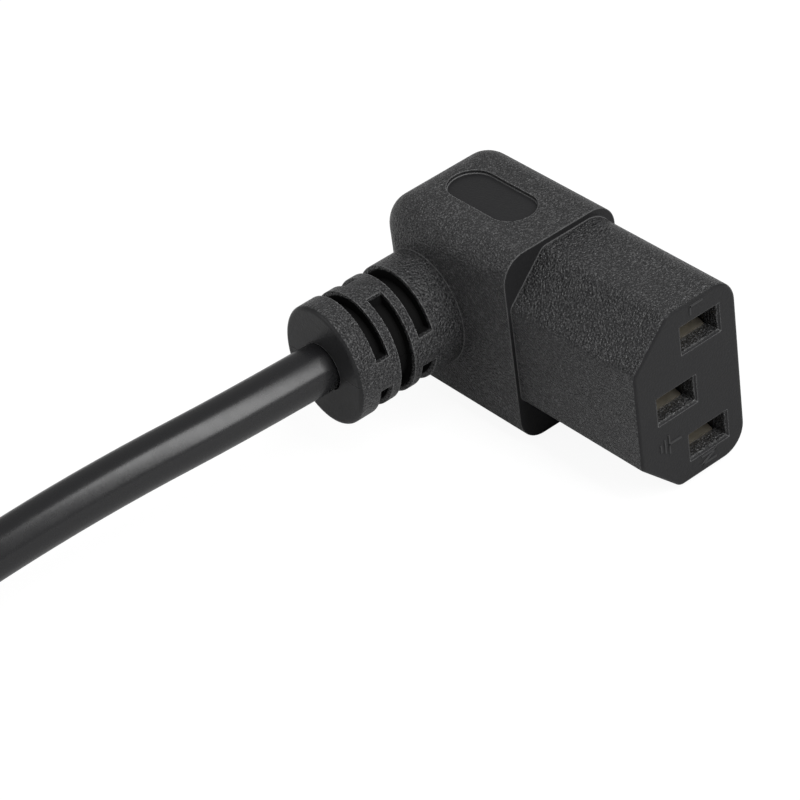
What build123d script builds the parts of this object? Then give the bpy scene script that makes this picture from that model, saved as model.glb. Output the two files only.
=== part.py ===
from build123d import *
import os
from math import cos, radians, sin, tan

os.makedirs("parts", exist_ok=True)

# Right angle connector block, which carries the socket nose and the strain relief
block_length = 20.9
block_rim = 0.8  # how far the block stands out above the nose
block_near = 10.2  # from the line of the live slots to the side that the cord leaves
block_far = 5.75  # from the line of the live slots to the other side
block_back_radius = 4.4
block_side_radius = 3.1
recess_length = 12.1
recess_width = 5.6
recess_depth = 0.45

# Socket nose, which goes into an inlet
nose_length = 18.8
nose_margin = 4.25  # from the middle of a live slot to the nose's edge beside it
nose_near = 9.65  # from the line of the live slots to the earth side
nose_far = 5.2
nose_chamfer = 5.2
nose_chamfer_radius = 1.2
nose_far_radius = 3.2
nose_edge_radius = 0.4
nose_wall = 1.6
front_wall = 2.0

# Slots in the face and the pins that enter them
pole_pitch = 14.0  # between the two live slots
earth_offset = 4.0
slot_width = 5.2
slot_height = 3.1
slot_chamfer = 0.28
pin_width = 4.0
pin_thickness = 2.0

# Contact carrier and its folded contacts
carrier_length = 17.0
pocket_clearance = 0.2
contact_length = 16.4
contact_width = 4.6
contact_sheet = 0.4
contact_grip = 0.9  # half the gap between the leaves where they grip
contact_mouth = 1.35  # half the gap between the leaves at their mouth
contact_bay = 1.15  # half the gap between the leaves behind the grip
mouth_length = 1.4
grip_length = 3.0
bay_start = 7.0
neck_length = 1.5
neck_width = 2.4

# Crimps and wires
barrel_length = 4.0
barrel_radius = 1.3
strand_radius = 0.6
wire_radius = 1.0
wire_ring = 1.2  # from the cord's axis to the axis of each wire in it
wire_bend = 2.5

# Strain relief, counted from the housing outwards
relief_half_width = 6.4
relief_half_height = 7.0
relief_floor_width = 5.0
relief_floor_height = 5.4
relief_collar = 4.0
relief_slots = [1.95, 2.0, 1.7]
relief_rings = [1.05, 1.15]
relief_web = 3.7
end_ring_length = 2.7
end_half_width = 6.35
end_half_height = 7.35
end_ring_radius = 0.5
cord_axis_back = 6.6  # from the back of the block to the axis of the cord

# Cord
cord_radius = 2.85
jacket_depth = 2.2  # how far the jacket reaches into the connector block

# Flat coil of the length that is put away, and its tie
coil_run = 85.5  # the straight sides
coil_bend = 19.95  # the radius of its round ends, at the middle of the turns
coil_lanes = 2
coil_layers = 3
coil_slack = 0.3
lead_length = 17.0
strap_thickness = 0.95
strap_gap = 0.05
strap_width = 12.0
strap_lap = 22.0

# Plug at the far end, which lies on the coil
plug_x = -8.0
plug_seat = 0.1
plug_side_wall = 2.1  # beside the nose that its cavity takes
plug_height = 19.3
plug_corner_radius = 3.5
plug_shroud_length = 20.0
plug_grip_length = 18.0
plug_shoulder = 0.8
plug_rear_width = 20.0
plug_rear_height = 15.6
plug_rear_radius = 4.5
plug_rear_edge = 2.0
plug_jacket_depth = 3.5
plug_cavity_depth = 16.3
plug_cavity_gap = 0.4
pin_recess = 1.2  # from the rim of the plug to the tips of its pins
pin_tip_chamfer = 0.7
pin_carrier_length = 4.0
pin_carrier_inset = 1.2
plug_barrel_length = 3.5

# Places that follow from the sizes, with the origin under the middle of the connector
nose_height = pole_pitch + 2 * nose_margin
block_height = nose_height + 2 * block_rim
plug_width = nose_height + 2 * plug_side_wall
relief_length = relief_collar + sum(relief_slots) + sum(relief_rings) + end_ring_length
face_x = (nose_length + block_length) / 2
shoulder_x = face_x - nose_length
back_x = shoulder_x - block_length
slot_line_y = (relief_length + block_near - block_far) / 2
near_y = slot_line_y - block_near
far_y = slot_line_y + block_far
mid_z = block_height / 2
cord_x = back_x + cord_axis_back
jacket_end_y = near_y + jacket_depth
cavity_x = face_x - front_wall
carrier_back_x = cavity_x - carrier_length
contact_back_x = cavity_x - contact_length
barrel_x = contact_back_x - neck_length
barrel_back_x = barrel_x - barrel_length
outline_centre = (nose_far - nose_near) / 2

# Each pole: name, place across the face from the slot line, height from the middle of the face
poles = [
    ("line", 0.0, pole_pitch / 2),
    ("neutral", 0.0, -pole_pitch / 2),
    ("earth", -earth_offset, 0.0),
]
slot_centres = [(across, up) for _, across, up in poles]

# Levels in the coil: the cord goes in at the bottom, and its tail comes out at the top
cord_diameter = 2 * cord_radius
coil_base = strap_thickness + strap_gap
coil_half_width = coil_lanes * cord_radius + coil_slack
coil_height = coil_layers * cord_diameter + 2 * coil_slack
lead_in_z = coil_base + coil_slack + cord_radius
top_layer_z = lead_in_z + (coil_layers - 1) * cord_diameter
plug_mid_z = coil_base + coil_height + plug_seat + plug_height / 2

# Route of the cord, chosen by hand: out of the strain relief, down to the floor and to the coil
route = [
    (cord_x, jacket_end_y, mid_z),
    (cord_x, -21.5, mid_z),
    (-17.4, -45.0, 10.2),
    (-21.3, -66.0, 5.8),
    (-22.9, -80.0, lead_in_z),
    (-22.9, -93.0, lead_in_z),
]
coil_x = route[-1][0] + coil_bend + cord_radius * (coil_lanes - 1)
coil_start_y = route[-1][1] - lead_length
coil_y = coil_start_y - coil_run / 2
inner_lane_x = coil_x - coil_bend + cord_radius * (coil_lanes - 1)

# Route of the tail: up out of the coil's top layer and into the plug
tail_route = [
    (inner_lane_x, coil_start_y + 1.0, top_layer_z),
    (inner_lane_x, coil_start_y - 14.0, top_layer_z),
    (-12.5, coil_start_y - 32.0, 22.3),
    (plug_x, coil_start_y - 50.0, plug_mid_z),
    (plug_x, coil_start_y - 69.5, plug_mid_z),
]
plug_rear_y = tail_route[-1][1] + plug_jacket_depth
plug_length = plug_grip_length + plug_shroud_length
plug_slot_z = plug_mid_z + outline_centre
pin_carrier_back = plug_length - plug_cavity_depth - pin_carrier_length


def nose_outline(grow):
    """Draw the outline of the nose, larger all round by grow.

    Its first axis runs from the earth side to the far side, counted from the slot line.
    """
    half = nose_height / 2
    with BuildSketch() as outline:
        with BuildLine():
            Polyline(
                (-nose_near, half - nose_chamfer),
                (-nose_near + nose_chamfer, half),
                (nose_far, half),
                (nose_far, -half),
                (-nose_near + nose_chamfer, -half),
                (-nose_near, -half + nose_chamfer),
                close=True,
            )
        make_face()
        fillet(vertices().sort_by(Axis.X)[-2:], nose_far_radius)
        fillet(vertices().sort_by(Axis.X)[:4], nose_chamfer_radius)
        if grow:
            offset(amount=grow)
    return outline.sketch


def tube(name, points, radii, radius, bore=0.0):
    """Make a round solid along straight runs joined by arcs, hollow if it has a bore."""
    with BuildPart() as solid:
        with BuildLine() as path:
            FilletPolyline(*points, radius=radii)
        with BuildSketch(Plane(path.line @ 0, z_dir=path.line % 0)):
            Circle(radius)
            if bore:
                Circle(bore, mode=Mode.SUBTRACT)
        sweep(path=path.line)
    solid.part.label = name
    return solid.part


def cord_bends(points):
    """Give each corner of a cord's route the radius that its shorter run allows."""
    bends = []
    for before, corner, after in zip(points, points[1:], points[2:]):
        arriving = Vector(corner) - Vector(before)
        leaving = Vector(after) - Vector(corner)
        shorter = min(arriving.length, leaving.length)
        turn = radians(arriving.get_angle(leaving))
        bends.append(0.45 * shorter / tan(turn / 2))
    return bends


def strain_relief():
    """Make the slotted sleeve along +Z, with its root sunk below the housing's face."""
    root = block_side_radius + 1.0
    end_start = relief_length - end_ring_length
    with BuildPart() as relief:
        with BuildSketch(Plane.XY.offset(-root)):
            Ellipse(relief_half_width, relief_half_height)
        extrude(amount=root + end_start)
        with BuildSketch(Plane.XY.offset(end_start)):
            Ellipse(end_half_width, end_half_height)
        extrude(amount=end_ring_length)
        fillet(edges().sort_by(Axis.Z)[-1], end_ring_radius)
        start = relief_collar
        for row, width in enumerate(relief_slots):
            with BuildSketch(Plane.XY.offset(start)):
                Ellipse(2 * relief_half_width, 2 * relief_half_height)
                Ellipse(relief_floor_width, relief_floor_height, mode=Mode.SUBTRACT)
                if row % 2 == 0:
                    Rectangle(4 * relief_half_width, relief_web, mode=Mode.SUBTRACT)
                else:
                    Rectangle(relief_web, 4 * relief_half_height, mode=Mode.SUBTRACT)
            extrude(amount=width, mode=Mode.SUBTRACT)
            start += width + (relief_rings[row] if row < len(relief_rings) else 0)
    return relief.part


def leaf_contact(name, across, up):
    """Make one socket contact: two leaves that grip a pin, a neck and a crimp barrel."""
    y = slot_line_y + across
    z = mid_z + up
    with BuildPart() as contact:
        with BuildSketch(Plane(origin=(cavity_x, y, z), x_dir=(1, 0, 0), z_dir=(0, -1, 0))):
            with BuildLine():
                Polyline(
                    (0, contact_mouth),
                    (-mouth_length, contact_grip),
                    (-grip_length, contact_grip),
                    (-bay_start, contact_bay),
                    (contact_sheet - contact_length, contact_bay),
                    (contact_sheet - contact_length, 0),
                    (-contact_length, 0),
                    (-contact_length, contact_bay + contact_sheet),
                    (-bay_start, contact_bay + contact_sheet),
                    (-grip_length, contact_grip + contact_sheet),
                    (-mouth_length, contact_grip + contact_sheet),
                    (0, contact_mouth + contact_sheet),
                    close=True,
                )
            make_face()
            mirror(about=Plane.XZ)
        extrude(amount=contact_width / 2, both=True)
        with BuildSketch(Plane(origin=(barrel_x, y, z), x_dir=(0, 1, 0), z_dir=(1, 0, 0))):
            Rectangle(neck_width, contact_sheet)
        extrude(amount=neck_length)
        with BuildSketch(Plane(origin=(barrel_back_x, y, z), x_dir=(0, 1, 0), z_dir=(1, 0, 0))):
            Circle(barrel_radius)
            Circle(strand_radius, mode=Mode.SUBTRACT)
        extrude(amount=barrel_length)
    contact.part.label = name
    return contact.part


def connector_wire_path(across, up):
    """Run one wire from the end of the jacket to its crimp barrel, with the turn of the block."""
    y = slot_line_y + across
    if up == 0:
        start_x = cord_x + wire_ring
        return [
            (start_x, jacket_end_y, mid_z),
            (start_x, y, mid_z),
            (barrel_back_x, y, mid_z),
        ]
    side = 1 if up > 0 else -1
    start_x = cord_x - wire_ring * cos(radians(60))
    start_z = mid_z + side * wire_ring * sin(radians(60))
    return [
        (start_x, jacket_end_y, start_z),
        (start_x, jacket_end_y + wire_bend, start_z),
        (start_x + wire_bend, y - wire_radius, mid_z + up - side * wire_radius),
        (start_x + 2 * wire_bend, y, mid_z + up),
        (barrel_back_x, y, mid_z + up),
    ]


def plug_sketch_plane(distance):
    """Give the plane across the plug at a distance from its rear, in the nose outline's axes."""
    return Plane(
        origin=(plug_x, plug_rear_y - distance, plug_slot_z),
        x_dir=(0, 0, -1),
        z_dir=(0, -1, 0),
    )


def plug_pin(name, across, up):
    """Make one pin of the plug with the crimp barrel behind it."""
    tip = plug_length - pin_recess
    with BuildPart() as pin:
        with BuildSketch(plug_sketch_plane(pin_carrier_back)):
            with Locations((across, up)):
                Rectangle(pin_width, pin_thickness)
        extrude(amount=tip - pin_carrier_back)
        chamfer(faces().sort_by(Axis.Y)[0].edges(), pin_tip_chamfer)
        with BuildSketch(plug_sketch_plane(pin_carrier_back - plug_barrel_length)):
            with Locations((across, up)):
                Circle(barrel_radius)
                Circle(strand_radius, mode=Mode.SUBTRACT)
        extrude(amount=plug_barrel_length)
    pin.part.label = name
    return pin.part


def plug_wire_path(across, up):
    """Run one wire from the end of the jacket in the plug to the barrel of its pin."""
    turn = 0 if up == 0 else (120 if up > 0 else -120)
    start_x = plug_x + wire_ring * sin(radians(turn))
    start_z = plug_mid_z + wire_ring * cos(radians(turn))
    jacket_y = plug_rear_y - plug_jacket_depth
    barrel_y = plug_rear_y - pin_carrier_back + plug_barrel_length
    end_x = plug_x + up
    end_z = plug_slot_z - across
    return [
        (start_x, jacket_y, start_z),
        (start_x, jacket_y - wire_bend, start_z),
        (end_x, barrel_y + wire_bend, end_z),
        (end_x, barrel_y, end_z),
    ]


# Cord along the stretch that is not coiled, and the short tail to the plug
cable_run = tube("cable_run", route, cord_bends(route), cord_radius)
cable_tail = tube("cable_tail", tail_route, cord_bends(tail_route), cord_radius)
print("cord bends in mm:", [round(bend) for bend in cord_bends(route) + cord_bends(tail_route)])

# Flat coil: the outer shape of its turns, with the straight lead into its outer turn at the bottom
with BuildPart() as cable_coil:
    with BuildSketch(Plane.XY.offset(coil_base)):
        with Locations((coil_x, coil_y)):
            SlotCenterToCenter(coil_run, 2 * (coil_bend + coil_half_width), rotation=90)
            SlotCenterToCenter(
                coil_run, 2 * (coil_bend - coil_half_width), rotation=90, mode=Mode.SUBTRACT
            )
    extrude(amount=coil_height)
    levels = edges().group_by(Axis.Z)
    fillet(levels[0] + levels[-1], cord_radius)
    with BuildSketch(Plane.XZ.offset(-route[-1][1])):
        with Locations((route[-1][0], lead_in_z)):
            Circle(cord_radius)
    extrude(amount=lead_length)
    add(cable_tail, mode=Mode.SUBTRACT)
cable_coil.part.label = "cable_coil"

# Tie: a strap round the middle of the coil, with its free end lapped on the top
with BuildPart() as coil_tie:
    with BuildSketch(Plane.XZ.offset(-coil_y - strap_width / 2)):
        with Locations((coil_x, coil_base + coil_height / 2)):
            RectangleRounded(
                2 * (coil_bend + coil_half_width + coil_base),
                coil_height + 2 * coil_base,
                cord_radius + coil_base,
            )
            RectangleRounded(
                2 * (coil_bend + coil_half_width + strap_gap),
                coil_height + 2 * strap_gap,
                cord_radius + strap_gap,
                mode=Mode.SUBTRACT,
            )
        with Locations((coil_x + strap_lap / 2, coil_base + coil_height + coil_base)):
            Rectangle(strap_lap, 2 * strap_thickness)
    extrude(amount=strap_width)
coil_tie.part.label = "coil_tie"

# Outlines of the nose, of the space inside it, and of the plug's cavity and pin carrier
nose_shape = nose_outline(0)
carrier_shape = nose_outline(-nose_wall)
cavity_shape = nose_outline(plug_cavity_gap)
pin_carrier_shape = nose_outline(-pin_carrier_inset)

# Contact carrier: the insert that holds the three contacts behind the face
with BuildPart() as contact_carrier:
    with BuildSketch(Plane(origin=(carrier_back_x, slot_line_y, mid_z), x_dir=(0, 1, 0), z_dir=(1, 0, 0))):
        add(carrier_shape)
        with Locations(*slot_centres):
            Rectangle(
                contact_width + 2 * pocket_clearance,
                2 * (contact_mouth + contact_sheet + pocket_clearance),
                mode=Mode.SUBTRACT,
            )
    extrude(amount=carrier_length)
contact_carrier.part.label = "contact_carrier"

# Contacts of the socket, and pins of the plug, which faces a socket and so has its poles mirrored
contacts = [leaf_contact(f"{name}_contact", across, up) for name, across, up in poles]
pins = [plug_pin(f"{name}_pin", across, -up) for name, across, up in poles]

# Wires at both ends: the insulation stops at the crimp, and the strands go on into it
socket_wires = []
plug_wires = []
for name, across, up in poles:
    path = connector_wire_path(across, up)
    bends = [wire_bend] * (len(path) - 2)
    crimped = [*path[:-1], (barrel_x, *path[-1][1:])]
    socket_wires.append(tube(f"{name}_insulation", path, bends, wire_radius, strand_radius))
    socket_wires.append(tube(f"{name}_strands", crimped, bends, strand_radius))

    path = plug_wire_path(across, -up)
    bends = [wire_bend] * (len(path) - 2)
    crimped = [*path[:-1], (path[-1][0], path[-1][1] - plug_barrel_length, path[-1][2])]
    plug_wires.append(tube(f"plug_{name}_insulation", path, bends, wire_radius, strand_radius))
    plug_wires.append(tube(f"plug_{name}_strands", crimped, bends, strand_radius))

# Connector body: block, nose and strain relief in one moulding round the inner pieces
relief = strain_relief()
face_plane = Plane(origin=(face_x, slot_line_y, mid_z), x_dir=(0, 1, 0), z_dir=(1, 0, 0))
relief_place = Plane(origin=(cord_x, near_y, mid_z), x_dir=(1, 0, 0), z_dir=(0, -1, 0))
with BuildPart() as connector_body:
    with BuildSketch(Plane.XZ.offset(-far_y)):
        with Locations(((back_x + shoulder_x) / 2, mid_z)):
            Rectangle(block_length, block_height)
        fillet(vertices().group_by(Axis.X)[0], block_back_radius)
    extrude(amount=block_near + block_far)
    sides = [faces().sort_by(Axis.Y)[0], faces().sort_by(Axis.Y)[-1]]
    fillet([edge for side in sides for edge in side.edges().sort_by(Axis.X)[:-1]], block_side_radius)
    with BuildSketch(Plane.XY.offset(block_height)):
        with Locations(((back_x + shoulder_x) / 2, (near_y + far_y) / 2)):
            SlotOverall(recess_length, recess_width)
    extrude(amount=-recess_depth, mode=Mode.SUBTRACT)
    with BuildSketch(face_plane.offset(-nose_length)):
        add(nose_shape)
    extrude(amount=nose_length)
    fillet(faces().sort_by(Axis.X)[-1].edges(), nose_edge_radius)
    with BuildSketch(face_plane):
        with Locations(*slot_centres):
            Rectangle(slot_width, slot_height)
    extrude(amount=-front_wall, mode=Mode.SUBTRACT)
    chamfer(faces().sort_by(Axis.X)[-1].inner_wires().edges(), slot_chamfer)
    with BuildSketch(face_plane.offset(-front_wall)):
        add(carrier_shape)
    extrude(amount=-carrier_length, mode=Mode.SUBTRACT)
    add(relief_place.location * relief)
    for inner in [*contacts, *socket_wires, cable_run]:
        add(inner, mode=Mode.SUBTRACT)
connector_body.part.label = "connector_body"

# Pin carrier: the floor of the plug's cavity, which holds the three pins
with BuildPart() as pin_carrier:
    with BuildSketch(plug_sketch_plane(pin_carrier_back)):
        add(pin_carrier_shape)
        with Locations(*slot_centres):
            Rectangle(pin_width, pin_thickness, mode=Mode.SUBTRACT)
    extrude(amount=pin_carrier_length)
pin_carrier.part.label = "pin_carrier"

# Plug body: grip, shroud round the pins and its own strain relief in one moulding
plug_relief_place = Plane(origin=(plug_x, plug_rear_y, plug_mid_z), x_dir=(1, 0, 0), z_dir=(0, 1, 0))
with BuildPart() as plug_body:
    with BuildSketch(plug_sketch_plane(0)):
        with Locations((outline_centre, 0)):
            RectangleRounded(plug_rear_height, plug_rear_width, plug_rear_radius)
    with BuildSketch(plug_sketch_plane(plug_grip_length)):
        with Locations((outline_centre, 0)):
            RectangleRounded(
                plug_height - 2 * plug_shoulder,
                plug_width - 2 * plug_shoulder,
                plug_corner_radius,
            )
    loft()
    fillet(faces().sort_by(Axis.Y)[-1].edges(), plug_rear_edge)
    with BuildSketch(plug_sketch_plane(plug_grip_length)):
        with Locations((outline_centre, 0)):
            RectangleRounded(plug_height, plug_width, plug_corner_radius)
    extrude(amount=plug_shroud_length)
    with BuildSketch(plug_sketch_plane(plug_length)):
        add(cavity_shape)
    extrude(amount=-plug_cavity_depth, mode=Mode.SUBTRACT)
    with BuildSketch(plug_sketch_plane(pin_carrier_back)):
        add(pin_carrier_shape)
    extrude(amount=pin_carrier_length, mode=Mode.SUBTRACT)
    add(plug_relief_place.location * relief)
    for inner in [*pins, *plug_wires, cable_tail]:
        add(inner, mode=Mode.SUBTRACT)
plug_body.part.label = "plug_body"

pieces = [
    connector_body.part,
    contact_carrier.part,
    *contacts,
    *socket_wires,
    cable_run,
    cable_coil.part,
    coil_tie.part,
    cable_tail,
    plug_body.part,
    pin_carrier.part,
    *pins,
    *plug_wires,
]
for piece in pieces:
    export_step(piece, f"parts/{piece.label}.step")
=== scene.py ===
"""Looks of a black power cord with a right-angle socket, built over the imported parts.

All lengths are in metres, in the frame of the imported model: +X out of the socket's face, the cord
leaves along -Y, and the floor is at z = 0.
"""

import logging
import math
from dataclasses import dataclass, field
from enum import Enum
from typing import Callable, Sequence

import bpy
import numpy as np
from mathutils import Matrix, Vector

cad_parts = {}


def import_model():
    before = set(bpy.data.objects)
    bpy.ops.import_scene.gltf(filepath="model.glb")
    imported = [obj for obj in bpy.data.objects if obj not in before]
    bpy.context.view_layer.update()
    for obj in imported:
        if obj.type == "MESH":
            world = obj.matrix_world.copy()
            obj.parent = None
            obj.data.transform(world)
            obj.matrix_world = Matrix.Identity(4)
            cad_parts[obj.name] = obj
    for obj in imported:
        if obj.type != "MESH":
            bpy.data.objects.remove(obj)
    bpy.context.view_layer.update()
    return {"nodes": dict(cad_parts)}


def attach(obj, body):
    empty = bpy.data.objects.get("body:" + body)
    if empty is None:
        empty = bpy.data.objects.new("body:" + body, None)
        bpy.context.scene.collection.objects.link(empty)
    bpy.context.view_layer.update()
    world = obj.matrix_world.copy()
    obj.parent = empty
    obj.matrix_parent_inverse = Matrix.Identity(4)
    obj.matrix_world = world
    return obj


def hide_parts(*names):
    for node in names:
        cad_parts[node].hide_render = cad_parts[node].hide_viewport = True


log = logging.getLogger("power_cord")

Socket = bpy.types.NodeSocket
Triple = tuple[float, float, float]

MM = 0.001
POLES = ("line", "neutral", "earth")
# Where a Mix node keeps the sockets for colours.
MIX_A, MIX_B, MIX_RESULT = 6, 7, 2


class Slot(Enum):
    """The record's material slots."""

    MOULDING = "moulding"
    INSERT = "insert"
    CONTACT = "contact_metal"
    PIN = "plated_pin"
    JACKET = "jacket"
    STRAP = "strap"
    BROWN = "brown_insulation"
    BLUE = "blue_insulation"
    GREEN_YELLOW = "green_yellow_insulation"
    COPPER = "copper_strands"


class NodeTree:
    """Short ways to add and join the nodes of one material."""

    def __init__(self, material: bpy.types.Material) -> None:
        """Start from the material's empty tree.

        Args:
            material: the material whose nodes are built.
        """
        material.use_nodes = True
        self.tree = material.node_tree
        self.tree.nodes.clear()

    def add(self, kind: str, **settings: object) -> bpy.types.Node:
        """Add a node and set its properties.

        Args:
            kind: the node's type name.
            settings: property names and their values.

        Returns:
            The new node.
        """
        node = self.tree.nodes.new(kind)
        for name, value in settings.items():
            setattr(node, name, value)
        return node

    def join(self, source: object, target: Socket) -> None:
        """Link an output to an input, or set the input where the source is a plain value.

        Args:
            source: an output socket, a number or a colour.
            target: the input socket.
        """
        if isinstance(source, Socket):
            self.tree.links.new(source, target)
        else:
            target.default_value = source

    def maths(self, operation: str, *values: Socket | float) -> Socket:
        """Add a Math node.

        Args:
            operation: the name of the operation.
            values: sockets or numbers, in the order of its inputs.

        Returns:
            The node's output.
        """
        node = self.add("ShaderNodeMath", operation=operation)
        for place, value in enumerate(values):
            self.join(value, node.inputs[place])
        return node.outputs[0]

    def away(self, value: Socket, middle: float) -> Socket:
        """Measure how far a value is from its middle, to either side.

        Args:
            value: the socket that is measured.
            middle: the number it is measured from.

        Returns:
            The socket of the distance.
        """
        return self.maths("ABSOLUTE", self.maths("SUBTRACT", value, middle))

    def swing(self, share: Socket, middle: float, span: float) -> Socket:
        """Spread a value of 0 to 1 evenly about a middle.

        Args:
            share: the socket of 0 to 1.
            middle: what 0.5 becomes.
            span: how far apart 0 and 1 come to lie.

        Returns:
            The socket of the spread value.
        """
        return self.maths("MULTIPLY_ADD", share, span, middle - span / 2)

    def step(self, value: Socket, start: float, end: float) -> Socket:
        """Rise smoothly from 0 at start to 1 at end.

        Args:
            value: the socket that is measured.
            start: where the rise begins.
            end: where it ends.

        Returns:
            The socket of the step.
        """
        node = self.add("ShaderNodeMapRange", interpolation_type="SMOOTHSTEP")
        self.join(value, node.inputs["Value"])
        node.inputs["From Min"].default_value = start
        node.inputs["From Max"].default_value = end
        return node.outputs["Result"]

    def noise(self, place: Socket, size: float, detail: float = 2.0) -> Socket:
        """Add noise whose features are about size metres across.

        Args:
            place: the coordinates.
            size: the size of a feature.
            detail: the number of finer layers.

        Returns:
            The noise factor, about 0 to 1.
        """
        node = self.add("ShaderNodeTexNoise")
        self.join(place, node.inputs["Vector"])
        node.inputs["Scale"].default_value = 1.0 / size
        node.inputs["Detail"].default_value = detail
        return node.outputs["Fac"]

    def blend(self, share: Socket, first: Socket | Triple, second: Triple) -> Socket:
        """Mix two colours.

        Args:
            share: the share of the second colour.
            first: the colour at share 0.
            second: the colour at share 1.

        Returns:
            The socket of the mixed colour.
        """
        node = self.add("ShaderNodeMix", data_type="RGBA")
        self.join(share, node.inputs["Factor"])
        self.join(first if isinstance(first, Socket) else (*first, 1.0), node.inputs[MIX_A])
        self.join((*second, 1.0), node.inputs[MIX_B])
        return node.outputs[MIX_RESULT]

    def surface(self, shader: Socket) -> None:
        """Make a shader the material's surface."""
        self.join(shader, self.add("ShaderNodeOutputMaterial").inputs["Surface"])


# Adds the nodes of two masks to a tree: the smooth faces, and the share of painted shade.
Masks = Callable[[NodeTree, Socket], tuple[Socket, Socket]]


@dataclass(frozen=True)
class Plastic:
    """A plain moulded plastic with a faint unevenness."""

    name: str
    colour: Triple
    roughness: float = 0.45
    roughness_swing: float = 0.1
    cloud_size: float = 1.5 * MM
    ripple_size: float = 0.6 * MM
    ripple_depth: float = 0.004 * MM

    def build(self) -> bpy.types.Material:
        """Make the material.

        Returns:
            The finished material.
        """
        material = bpy.data.materials.new(self.name)
        nodes = NodeTree(material)
        place = nodes.add("ShaderNodeTexCoord").outputs["Object"]
        shader = nodes.add("ShaderNodeBsdfPrincipled")
        shader.inputs["Base Color"].default_value = (*self.colour, 1.0)
        cloud = nodes.noise(place, self.cloud_size)
        shine = nodes.swing(cloud, self.roughness, self.roughness_swing)
        nodes.join(shine, shader.inputs["Roughness"])
        bump = nodes.add("ShaderNodeBump")
        bump.inputs["Distance"].default_value = self.ripple_depth
        nodes.join(nodes.noise(place, self.ripple_size), bump.inputs["Height"])
        nodes.join(bump.outputs[0], shader.inputs["Normal"])
        nodes.surface(shader.outputs[0])
        return material


@dataclass(frozen=True)
class Metal:
    """Bare or plated metal with an uneven shine."""

    name: str
    colour: Triple
    roughness: float = 0.3
    roughness_swing: float = 0.2
    cloud_size: float = 0.8 * MM
    cloud_detail: float = 4.0

    def build(self) -> bpy.types.Material:
        """Make the material.

        Returns:
            The finished material.
        """
        material = bpy.data.materials.new(self.name)
        nodes = NodeTree(material)
        place = nodes.add("ShaderNodeTexCoord").outputs["Object"]
        shader = nodes.add("ShaderNodeBsdfPrincipled")
        shader.inputs["Base Color"].default_value = (*self.colour, 1.0)
        shader.inputs["Metallic"].default_value = 1.0
        cloud = nodes.noise(place, self.cloud_size, self.cloud_detail)
        shine = nodes.swing(cloud, self.roughness, self.roughness_swing)
        nodes.join(shine, shader.inputs["Roughness"])
        nodes.surface(shader.outputs[0])
        return material


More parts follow.
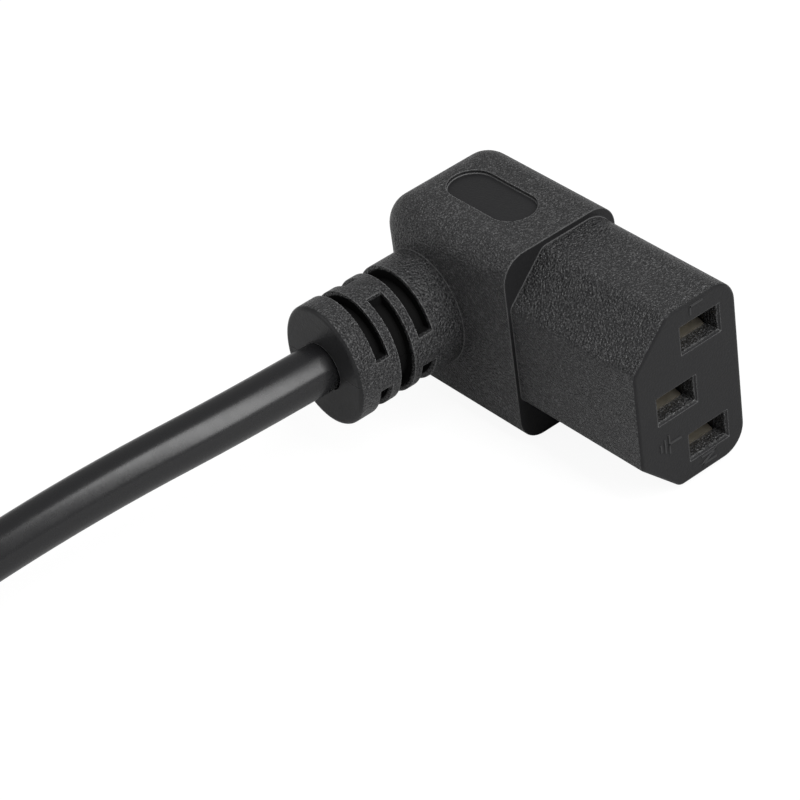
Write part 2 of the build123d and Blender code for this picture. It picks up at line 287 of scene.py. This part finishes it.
@dataclass(frozen=True)
class Moulding:
    """Black moulded plastic with a fine eroded grain, and smooth where the mould was polished.

    The grain is a bump of noise and small pebbles, with painted glints as light specks in its
    colour.
    Edges get a painted highlight, a paler colour, and an edge is where the softened normal turns
    away from the true one. Where masks are given, painted shade darkens the slot floors and front
    faces.
    """

    name: str
    colour: Triple = (0.020, 0.020, 0.021)
    roughness: float = 0.33
    roughness_swing: float = 0.12
    cloud_scale: float = 3.0
    grain_size: float = 0.26 * MM
    grain_depth: float = 0.30 * MM
    pebble_share: float = 0.55
    # size, range and share of the painted glints, light specks in the colour
    speck_size: float = 0.20 * MM
    speck_range: tuple[float, float] = (0.50, 0.68)
    speck_share: float = 0.40
    # painted highlight: the paler colour of the edges and of the glint specks
    painted_highlight_colour: Triple = (0.19, 0.19, 0.192)
    edge_radius: float = 0.25 * MM
    edge_samples: int = 6
    edge_cosines: tuple[float, float] = (0.985, 0.86)
    polish: float = 0.95
    sheen: float = 0.5
    polish_sheen_loss: float = 0.3
    # painted shade: the dark colour laid on the slot floors and the front faces
    painted_shade_colour: Triple = (0.009, 0.009, 0.009)
    painted_shade_sheen_loss: float = 0.2
    seam_z: float = 12.05 * MM
    seam_half_width: float = 0.07 * MM
    seam_height: float = 0.25
    seam_end_x: float = 18.0 * MM
    seam_fade: float = 1.0 * MM

    def painted_edge_highlights(self, nodes: NodeTree, soft_normal: Socket) -> Socket:
        """Mark the edges by the cosine between the softened normal and the true one.

        Args:
            nodes: the material's tree.
            soft_normal: the normal with softened edges.

        Returns:
            A socket that is 1 on the edges, where the painted highlight goes.
        """
        turned = nodes.add("ShaderNodeVectorMath", operation="DOT_PRODUCT")
        nodes.join(soft_normal, turned.inputs[0])
        nodes.join(nodes.add("ShaderNodeNewGeometry").outputs["Normal"], turned.inputs[1])
        return nodes.step(turned.outputs["Value"], *self.edge_cosines)

    def grain(self, nodes: NodeTree, place: Socket) -> Socket:
        """Add the height of the grain: fine noise, less the distance to the nearest pebble.

        Args:
            nodes: the material's tree.
            place: the coordinates.

        Returns:
            The socket of the height.
        """
        pebbles = nodes.add("ShaderNodeTexVoronoi", feature="F1")
        nodes.join(place, pebbles.inputs["Vector"])
        pebbles.inputs["Scale"].default_value = 1.0 / self.grain_size
        fine = nodes.noise(place, self.grain_size)
        return nodes.maths("MULTIPLY_ADD", pebbles.outputs["Distance"], -self.pebble_share, fine)

    def seam(self, nodes: NodeTree, place: Socket) -> Socket:
        """Mark the thin parting line at half height, which stops short of the face.

        Args:
            nodes: the material's tree.
            place: the coordinates.

        Returns:
            A socket that is 1 on the line.
        """
        split = nodes.add("ShaderNodeSeparateXYZ")
        nodes.join(place, split.inputs[0])
        on_line = nodes.step(nodes.away(split.outputs[2], self.seam_z), self.seam_half_width, 0.0)
        behind = nodes.step(split.outputs[0], self.seam_end_x + self.seam_fade, self.seam_end_x)
        return nodes.maths("MULTIPLY", on_line, behind)

    def build(self, masks: Masks | None = None) -> bpy.types.Material:
        """Make the material.

        Args:
            masks: adds the masks of the smooth faces and of the painted shade.

        Returns:
            The finished material.
        """
        material = bpy.data.materials.new(self.name)
        nodes = NodeTree(material)
        place = nodes.add("ShaderNodeTexCoord").outputs["Object"]
        shader = nodes.add("ShaderNodeBsdfPrincipled")
        soft_edges = nodes.add("ShaderNodeBevel", samples=self.edge_samples)
        soft_edges.inputs["Radius"].default_value = self.edge_radius
        height = self.grain(nodes, place)
        # painted glints: light specks in the colour, fewer on the polished faces
        specks = nodes.step(nodes.noise(place, self.speck_size, 1.0), *self.speck_range)
        pale = nodes.maths("MULTIPLY", specks, self.speck_share)
        painted_shade = None
        if masks is not None:
            smooth, painted_shade = masks(nodes, place)
            rough = nodes.maths("MULTIPLY_ADD", smooth, -self.polish, 1.0)
            pale = nodes.maths("MULTIPLY", pale, rough)
            height = nodes.maths("MULTIPLY", height, rough)
            seam = self.seam(nodes, place)
            height = nodes.maths("MULTIPLY_ADD", seam, self.seam_height, height)
            sheen = nodes.maths("MULTIPLY_ADD", smooth, -self.polish_sheen_loss, self.sheen)
            # painted shade also takes sheen away
            sheen = nodes.maths("MULTIPLY_ADD", painted_shade, -self.painted_shade_sheen_loss, sheen)
            nodes.join(sheen, shader.inputs["Specular IOR Level"])
        # painted highlight: edges and glint specks take the paler colour
        pale = nodes.maths("MAXIMUM", self.painted_edge_highlights(nodes, soft_edges.outputs[0]), pale)
        colour = nodes.blend(pale, self.colour, self.painted_highlight_colour)
        # painted shade: the slot floors and front faces are darkened towards a dark colour
        if painted_shade is not None:
            colour = nodes.blend(painted_shade, colour, self.painted_shade_colour)
        nodes.join(colour, shader.inputs["Base Color"])
        bump = nodes.add("ShaderNodeBump")
        bump.inputs["Distance"].default_value = self.grain_depth
        nodes.join(soft_edges.outputs[0], bump.inputs["Normal"])
        nodes.join(height, bump.inputs["Height"])
        nodes.join(bump.outputs[0], shader.inputs["Normal"])
        cloud = nodes.noise(place, self.grain_size * self.cloud_scale, 1.0)
        shine = nodes.swing(cloud, self.roughness, self.roughness_swing)
        nodes.join(shine, shader.inputs["Roughness"])
        nodes.surface(shader.outputs[0])
        return material


@dataclass
class Cord:
    """The free cord: from the strain relief to the floor, round the flat coil, to the plug.

    The coil's section has two lanes and three layers. A cell is a lane and a layer, and a change
    is the place, counted in sides of the coil, where the cord goes on to the next cell.
    """

    diameter: float = 5.7 * MM
    length: float = 1.66
    route: Sequence[Triple] = (
        (-0.01325, 0.0015, 0.01205),
        (-0.01325, -0.0215, 0.01205),
        (-0.0174, -0.0450, 0.0102),
        (-0.0213, -0.0660, 0.0058),
        (-0.0229, -0.0800, 0.00415),
        (-0.0229, -0.0930, 0.00415),
    )
    tail: Sequence[Triple] = (
        (-0.0172, -0.1090, 0.01555),
        (-0.0172, -0.1240, 0.01555),
        (-0.0125, -0.1420, 0.0223),
        (-0.0080, -0.1600, 0.02845),
        (-0.0080, -0.1795, 0.02845),
    )
    coil_x: float = -0.0001
    coil_start_y: float = -0.1100
    straight: float = 0.0855
    bend: float = 0.01995
    lowest: float = 0.00415
    points_per_side: int = 6
    cells: Sequence[tuple[int, int]] = ((1, 0), (0, 0), (0, 1), (1, 1), (1, 2), (0, 2))
    changes: Sequence[float] = (2.75, 6.5, 10.25, 13.5, 16.5)
    change_width: float = 0.5
    exit_y: float = -0.01525
    ring_steps: int = 10
    path_steps: int = 8

    def coil_points(self) -> np.ndarray:
        """Work out the control points of the coil's turns.

        A turn has four sides: out along the coil, round its far end, back, and round its near end.
        Its lane and layer come from its cell in the coil's section. Each change to the next cell
        is a smooth step over part of a side, and every change comes a little earlier in its turn
        than the last, so that the turns never cross. At the round ends the points stand outside
        the true arc by the cosine of half their spacing, because the spline runs inside them.

        Returns:
            One row of x, y and z for each control point.
        """
        sides = 4 * (len(self.cells) - 1)
        along = (np.arange(self.points_per_side * sides) + 0.5) / self.points_per_side
        share = (along[:, None] - np.array(self.changes)) / self.change_width + 0.5
        share = np.clip(share, 0.0, 1.0)
        share = share * share * (3.0 - 2.0 * share)
        cells = np.array(self.cells, float)
        place = cells[0] + share @ np.diff(cells, axis=0)
        side = along % 4.0
        radius = self.bend + self.diameter * (place[:, 0] - 0.5)
        spread = radius / math.cos(math.pi / (2 * self.points_per_side))
        radius = np.where(side % 2.0 > 1.0, spread, radius)
        angle = math.pi * (np.clip(side - 1.0, 0.0, 1.0) + np.clip(side - 3.0, 0.0, 1.0))
        out = np.clip(side, 0.0, 1.0) - np.clip(side - 2.0, 0.0, 1.0)
        return np.stack(
            [
                self.coil_x - radius * np.cos(angle),
                self.coil_start_y - self.straight * out - radius * np.sin(angle),
                self.lowest + self.diameter * place[:, 1],
            ],
            axis=1,
        )

    def build(self, finish: bpy.types.Material) -> bpy.types.Object:
        """Make the cord as one open spline through the route, the coil and the tail.

        Args:
            finish: the jacket's material.

        Returns:
            The curve object.
        """
        points = np.vstack([np.array(self.route), self.coil_points(), np.array(self.tail)])
        curve = bpy.data.curves.new("jacketed_cord", "CURVE")
        curve.dimensions = "3D"
        curve.bevel_depth = self.diameter / 2
        curve.bevel_resolution = self.ring_steps
        curve.resolution_u = self.path_steps
        curve.use_fill_caps = True
        spline = curve.splines.new("NURBS")
        spline.points.add(len(points) - 1)
        spline.points.foreach_set("co", np.hstack([points, np.ones((len(points), 1))]).ravel())
        spline.order_u = 3
        spline.use_endpoint_u = True
        curve.materials.append(finish)
        cord = bpy.data.objects.new("jacketed_cord", curve)
        bpy.context.scene.collection.objects.link(cord)
        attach(cord, "root")
        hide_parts("cable_run", "cable_coil", "cable_tail")
        return cord


@dataclass(frozen=True)
class Lamp:
    """One soft rectangular lamp that faces the socket."""

    name: str
    place: Triple
    size: tuple[float, float]
    power: float
    aim: Triple = (0.0, 0.0, 0.01)

    def hang(self) -> bpy.types.Object:
        """Hang the lamp in the scene.

        Returns:
            The lamp object.
        """
        data = bpy.data.lights.new(self.name, "AREA")
        data.shape = "RECTANGLE"
        data.size, data.size_y = self.size
        data.energy = self.power
        lamp = bpy.data.objects.new(self.name, data)
        lamp.location = self.place
        facing = Vector(self.aim) - Vector(self.place)
        lamp.rotation_euler = facing.to_track_quat("-Z", "Y").to_euler()
        bpy.context.scene.collection.objects.link(lamp)
        return lamp


@dataclass
class Studio:
    """Floor, soft lamps, world and the camera at the photograph's angle."""

    camera_place: Triple = (0.234972, -0.181764, 0.232556)
    azimuth: float = 54.6863
    elevation: float = 37.1577
    roll: float = -8.45
    lens: float = 155.716
    sensor_width: float = 36.0
    clip: tuple[float, float] = (0.01, 20.0)
    floor_size: float = 6.0
    paper_colour: Triple = (0.70, 0.70, 0.70)
    glow_colour: Triple = (1.0, 1.0, 1.0)
    glow_strength: float = 1.15
    glow_share: float = 0.8
    world_colour: Triple = (1.0, 1.0, 1.0)
    world_strength: float = 0.34
    lamps: Sequence[Lamp] = (
        Lamp("key_lamp", (0.46, 0.10, 0.53), (0.28, 0.90), 4.9),
        Lamp("fill_lamp", (-0.35, -0.80, 0.42), (0.6, 0.6), 1.6),
    )

    def set_camera(self) -> None:
        """Place the camera: it looks back along its azimuth and elevation, and is then rolled."""
        data = bpy.data.cameras.new("camera")
        data.lens = self.lens
        data.sensor_width = self.sensor_width
        data.clip_start, data.clip_end = self.clip
        camera = bpy.data.objects.new("camera", data)
        turn = Matrix.Rotation(math.radians(self.azimuth), 4, "Z")
        tilt = Matrix.Rotation(math.radians(90.0 - self.elevation), 4, "X")
        spin = Matrix.Rotation(math.radians(self.roll), 4, "Z")
        camera.matrix_world = Matrix.Translation(self.camera_place) @ turn @ tilt @ spin
        bpy.context.scene.collection.objects.link(camera)
        bpy.context.scene.camera = camera

    def make_paper(self) -> bpy.types.Material:
        """Make the floor's paper, which also glows for the camera alone.

        Returns:
            The finished material.
        """
        material = bpy.data.materials.new("floor_paper")
        nodes = NodeTree(material)
        rays = nodes.add("ShaderNodeLightPath")
        paper = nodes.add("ShaderNodeBsdfDiffuse")
        paper.inputs["Color"].default_value = (*self.paper_colour, 1.0)
        glow = nodes.add("ShaderNodeEmission")
        glow.inputs["Color"].default_value = (*self.glow_colour, 1.0)
        glow.inputs["Strength"].default_value = self.glow_strength
        blend = nodes.add("ShaderNodeMixShader")
        share = nodes.maths("MULTIPLY", rays.outputs["Is Camera Ray"], self.glow_share)
        nodes.join(share, blend.inputs[0])
        nodes.join(paper.outputs[0], blend.inputs[1])
        nodes.join(glow.outputs[0], blend.inputs[2])
        nodes.surface(blend.outputs[0])
        return material

    def lay_floor(self) -> bpy.types.Object:
        """Make the pale floor, which the camera sees nearly white, with the object's shadow.

        Returns:
            The floor object.
        """
        half = self.floor_size / 2
        mesh = bpy.data.meshes.new("floor")
        corners = [(-half, -half, 0.0), (half, -half, 0.0), (half, half, 0.0), (-half, half, 0.0)]
        mesh.from_pydata(corners, [], [(0, 1, 2, 3)])
        mesh.materials.append(self.make_paper())
        floor = bpy.data.objects.new("floor", mesh)
        bpy.context.scene.collection.objects.link(floor)
        return floor

    def light(self) -> None:
        """Set the plain view transform and the world, and hang the lamps."""
        bpy.context.scene.view_settings.view_transform = "Standard"
        world = bpy.data.worlds.new("studio")
        world.use_nodes = True
        background = world.node_tree.nodes["Background"]
        background.inputs["Color"].default_value = (*self.world_colour, 1.0)
        background.inputs["Strength"].default_value = self.world_strength
        bpy.context.scene.world = world
        for lamp in self.lamps:
            lamp.hang()


@dataclass
class FaceMarks:
    """The plain pole marks, an L, an N and the sign for earth, that stand a little off the face.

    Each stroke is given in millimetres as the y and z of its two ends.
    """

    face_x: float = 19.85 * MM
    rise: float = 0.11 * MM
    root: float = 0.02 * MM
    stroke: float = 0.30 * MM
    top_share: float = 1 / 1.7
    line: Sequence[tuple[float, float, float, float]] = (
        (8.3, 22.65, 10.0, 22.65),
        (8.3, 22.65, 8.25, 21.7),
    )
    neutral: Sequence[tuple[float, float, float, float]] = (
        (8.3, 2.9, 10.2, 2.9),
        (10.2, 2.9, 8.3, 1.9),
        (8.3, 1.9, 10.2, 1.9),
    )
    earth: Sequence[tuple[float, float, float, float]] = (
        (3.9, 7.25, 5.5, 7.25),
        (3.9, 6.15, 3.9, 8.35),
        (3.3, 6.5, 3.3, 8.0),
        (2.7, 6.9, 2.7, 7.6),
    )

    def bar_points(self) -> np.ndarray:
        """Work out the corners of the bars.

        A corner is an end of its stroke, moved along the stroke and aside of it by half the bar's
        width there. The four corners of the foot come first, just inside the face, and then the
        four of the narrower top.

        Returns:
            An array of bars, corners, and x, y and z.
        """
        ends = np.array([*self.line, *self.neutral, *self.earth]).reshape(-1, 2, 2) * MM
        along = ends[:, 1] - ends[:, 0]
        along /= np.linalg.norm(along, axis=1, keepdims=True)
        aside = np.stack([-along[:, 1], along[:, 0]], axis=1)
        signs = np.array([(-1.0, -1.0), (1.0, -1.0), (1.0, 1.0), (-1.0, 1.0)])
        push = signs[:, 0, None] * along[:, None] + signs[:, 1, None] * aside[:, None]
        foot = self.stroke / 2
        rings = []
        for half, height in ((foot, -self.root), (foot * self.top_share, self.rise)):
            ring = ends[:, [0, 1, 1, 0]] + half * push
            level = np.full((*ring.shape[:2], 1), self.face_x + height)
            rings.append(np.concatenate([level, ring], axis=2))
        return np.concatenate(rings, axis=1)

    def build(self, finish: bpy.types.Material) -> bpy.types.Object:
        """Make all strokes as one mesh of low bars with sloping sides.

        Args:
            finish: the marks' material.

        Returns:
            The mesh object.
        """
        points = self.bar_points()
        sides = np.array(
            [(0, 1, 5, 4), (1, 2, 6, 5), (2, 3, 7, 6), (3, 0, 4, 7), (4, 5, 6, 7), (3, 2, 1, 0)]
        )
        faces = sides + points.shape[1] * np.arange(len(points))[:, None, None]
        mesh = bpy.data.meshes.new("pole_marks")
        mesh.from_pydata(points.reshape(-1, 3).tolist(), [], faces.reshape(-1, 4).tolist())
        mesh.materials.append(finish)
        marks = bpy.data.objects.new("pole_marks", mesh)
        bpy.context.scene.collection.objects.link(marks)
        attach(marks, "root")
        log.info("pole_marks: %s", finish.name)
        return marks


@dataclass
class Connector:
    """The right-angle socket: body, pole marks, insert, contacts and the wires inside.

    Middles and reaches are given as x and z for the strain relief, and as x and y for the recess.
    """

    nodes: dict[str, bpy.types.Object] = field(default_factory=dict)
    face_x: float = 19.85 * MM
    shoulder_x: float = 1.05 * MM
    # share of painted shade on the front faces
    face_shade: float = 0.2
    end_y: float = -15.15 * MM
    collar_y: float = -0.65 * MM
    relief_middle: tuple[float, float] = (-13.25 * MM, 12.05 * MM)
    relief_reach: tuple[float, float] = (6.4 * MM, 7.2 * MM)
    floor_ratios: tuple[float, float] = (0.93, 0.89)
    recess_middle: tuple[float, float] = (-9.4 * MM, 7.2 * MM)
    recess_reach: tuple[float, float] = (6.2 * MM, 2.95 * MM)
    top_z: float = 24.1 * MM
    polish_edge: float = 0.12 * MM

    def slot_floors(self, nodes: NodeTree, x: Socket, y: Socket, z: Socket) -> Socket:
        """Mark the floors of the strain relief's slots.

        The relief's skin is an oval round its middle. The root of the squares of x and z, each
        over the oval's reach, is 1 on the skin and less on the floors.

        Args:
            nodes: the material's tree.
            x: the place along the nose.
            y: the place along the strain relief.
            z: the height.

        Returns:
            A socket that is 1 on the floors.
        """
        middle, reach = self.relief_middle, self.relief_reach
        across = nodes.maths("DIVIDE", nodes.maths("SUBTRACT", x, middle[0]), reach[0])
        up = nodes.maths("DIVIDE", nodes.maths("SUBTRACT", z, middle[1]), reach[1])
        squares = nodes.maths("MULTIPLY_ADD", across, across, nodes.maths("MULTIPLY", up, up))
        inside = nodes.step(nodes.maths("SQRT", squares), *self.floor_ratios)
        below_collar = nodes.step(y, self.collar_y, self.collar_y - self.polish_edge)
        return nodes.maths("MULTIPLY", inside, below_collar)

    def recess_floor(self, nodes: NodeTree, x: Socket, y: Socket, z: Socket) -> Socket:
        """Mark the floor of the recess in the block's top.

        Args:
            nodes: the material's tree.
            x: the place along the nose.
            y: the place along the strain relief.
            z: the height.

        Returns:
            A socket that is 1 on the floor.
        """
        edge, middle, reach = self.polish_edge, self.recess_middle, self.recess_reach
        beside = nodes.step(nodes.away(x, middle[0]), reach[0], reach[0] - edge)
        before = nodes.step(nodes.away(y, middle[1]), reach[1], reach[1] - edge)
        below = nodes.step(z, self.top_z - edge / 2, self.top_z - edge)
        return nodes.maths("MULTIPLY", nodes.maths("MULTIPLY", beside, before), below)

    def masks(self, nodes: NodeTree, place: Socket) -> tuple[Socket, Socket]:
        """Mark the smooth faces: nose, block front, cord's end, slot floors and recess.

        Args:
            nodes: the material's tree.
            place: the coordinates.

        Returns:
            A socket that is 1 on those faces, and one with the share of painted shade on the slot
            floors and front faces.
        """
        split = nodes.add("ShaderNodeSeparateXYZ")
        nodes.join(place, split.inputs[0])
        x, y, z = split.outputs
        edge = self.polish_edge
        nose = nodes.step(x, self.face_x - 2 * edge, self.face_x - edge)
        shoulder = nodes.step(nodes.away(x, self.shoulder_x), edge / 2, edge / 4)
        face = nodes.maths("MAXIMUM", nose, shoulder)
        end = nodes.step(y, self.end_y + 2 * edge, self.end_y + edge)
        floors = self.slot_floors(nodes, x, y, z)
        recess = self.recess_floor(nodes, x, y, z)
        # painted shade: the slot floors short of the cord's end, and a share of the front faces
        short_of_end = nodes.step(y, self.end_y + edge, self.end_y + 4 * edge)
        slots = nodes.maths("MULTIPLY", floors, short_of_end)
        painted_shade = nodes.maths("MAXIMUM", slots, nodes.maths("MULTIPLY", face, self.face_shade))
        ends = nodes.maths("MAXIMUM", face, end)
        smooth = nodes.maths("MAXIMUM", ends, nodes.maths("MAXIMUM", floors, recess))
        return smooth, painted_shade

    def dress(self, finishes: dict[Slot, bpy.types.Material]) -> None:
        """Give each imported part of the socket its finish.

        Args:
            finishes: the material of each slot.
        """
        set_finish(self.nodes["connector_body"], Moulding("socket_moulding").build(self.masks))
        FaceMarks().build(Plastic("polished_moulding", (0.02, 0.02, 0.021), 0.42).build())
        set_finish(self.nodes["contact_carrier"], finishes[Slot.INSERT])
        dress_wires(self.nodes, "", finishes)
        for pole in POLES:
            set_finish(self.nodes[f"{pole}_contact"], finishes[Slot.CONTACT])


@dataclass
class Plug:
    """The inline plug at the far end: body, pin carrier, pins and the wires inside."""

    nodes: dict[str, bpy.types.Object] = field(default_factory=dict)

    def dress(self, finishes: dict[Slot, bpy.types.Material]) -> None:
        """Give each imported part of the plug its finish.

        Args:
            finishes: the material of each slot.
        """
        set_finish(self.nodes["plug_body"], finishes[Slot.MOULDING])
        set_finish(self.nodes["pin_carrier"], finishes[Slot.INSERT])
        dress_wires(self.nodes, "plug_", finishes)
        for pole in POLES:
            set_finish(self.nodes[f"{pole}_pin"], finishes[Slot.PIN])


def set_finish(part: bpy.types.Object, finish: bpy.types.Material) -> None:
    """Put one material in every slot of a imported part.

    Args:
        part: the part's object.
        finish: its material.
    """
    for place in part.material_slots:
        place.material = finish
    log.info("%s: %s", part.name, finish.name)


def dress_wires(
    nodes: dict[str, bpy.types.Object], prefix: str, finishes: dict[Slot, bpy.types.Material]
) -> None:
    """Dress the three wires at one end of the cord.

    Args:
        nodes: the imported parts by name.
        prefix: what the names of that end's wires start with.
        finishes: the material of each slot.
    """
    for pole, colour in zip(POLES, (Slot.BROWN, Slot.BLUE, Slot.GREEN_YELLOW)):
        set_finish(nodes[f"{prefix}{pole}_insulation"], finishes[colour])
        set_finish(nodes[f"{prefix}{pole}_strands"], finishes[Slot.COPPER])


def make_finishes() -> dict[Slot, bpy.types.Material]:
    """Make the material of each slot.

    Returns:
        The materials by slot.
    """
    return {
        Slot.MOULDING: Moulding("black_moulding").build(),
        Slot.INSERT: Plastic("black_insert", (0.012, 0.012, 0.012), 0.5).build(),
        Slot.CONTACT: Metal("contact_sheet", (0.36, 0.33, 0.27), 0.5).build(),
        Slot.PIN: Metal("bright_plating", (0.75, 0.75, 0.74), 0.22).build(),
        Slot.JACKET: Plastic("cord_jacket", (0.012, 0.012, 0.013), 0.27).build(),
        Slot.STRAP: Plastic("coil_strap", (0.03, 0.03, 0.03), 0.5).build(),
        Slot.BROWN: Plastic("brown_wire", (0.21, 0.09, 0.035), 0.4).build(),
        Slot.BLUE: Plastic("blue_wire", (0.03, 0.19, 0.55), 0.4).build(),
        Slot.GREEN_YELLOW: Plastic("green_yellow_wire", (0.42, 0.55, 0.06), 0.4).build(),
        Slot.COPPER: Metal("bare_copper", (0.83, 0.42, 0.24), 0.3).build(),
    }


def main() -> None:
    """Build the looks in order: camera, cord, socket, plug, strap and studio."""
    logging.basicConfig(level=logging.INFO, format="%(name)s: %(message)s")
    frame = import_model()
    nodes = frame["nodes"]
    studio = Studio()
    studio.set_camera()
    finishes = make_finishes()
    cord = Cord()
    jacket = cord.build(finishes[Slot.JACKET])
    log.info("jacketed_cord: %.2f m long", cord.length)
    Connector(nodes).dress(finishes)
    Plug(nodes).dress(finishes)
    set_finish(nodes["coil_tie"], finishes[Slot.STRAP])
    on_cord = ["plug_body", "pin_carrier", "coil_tie"]
    on_cord += [f"{pole}_pin" for pole in POLES]
    on_cord += [f"plug_{pole}_{kind}" for pole in POLES for kind in ("insulation", "strands")]
    studio.lay_floor()
    studio.light()
    log.info("boxes written")


if __name__ == "__main__":
    main()
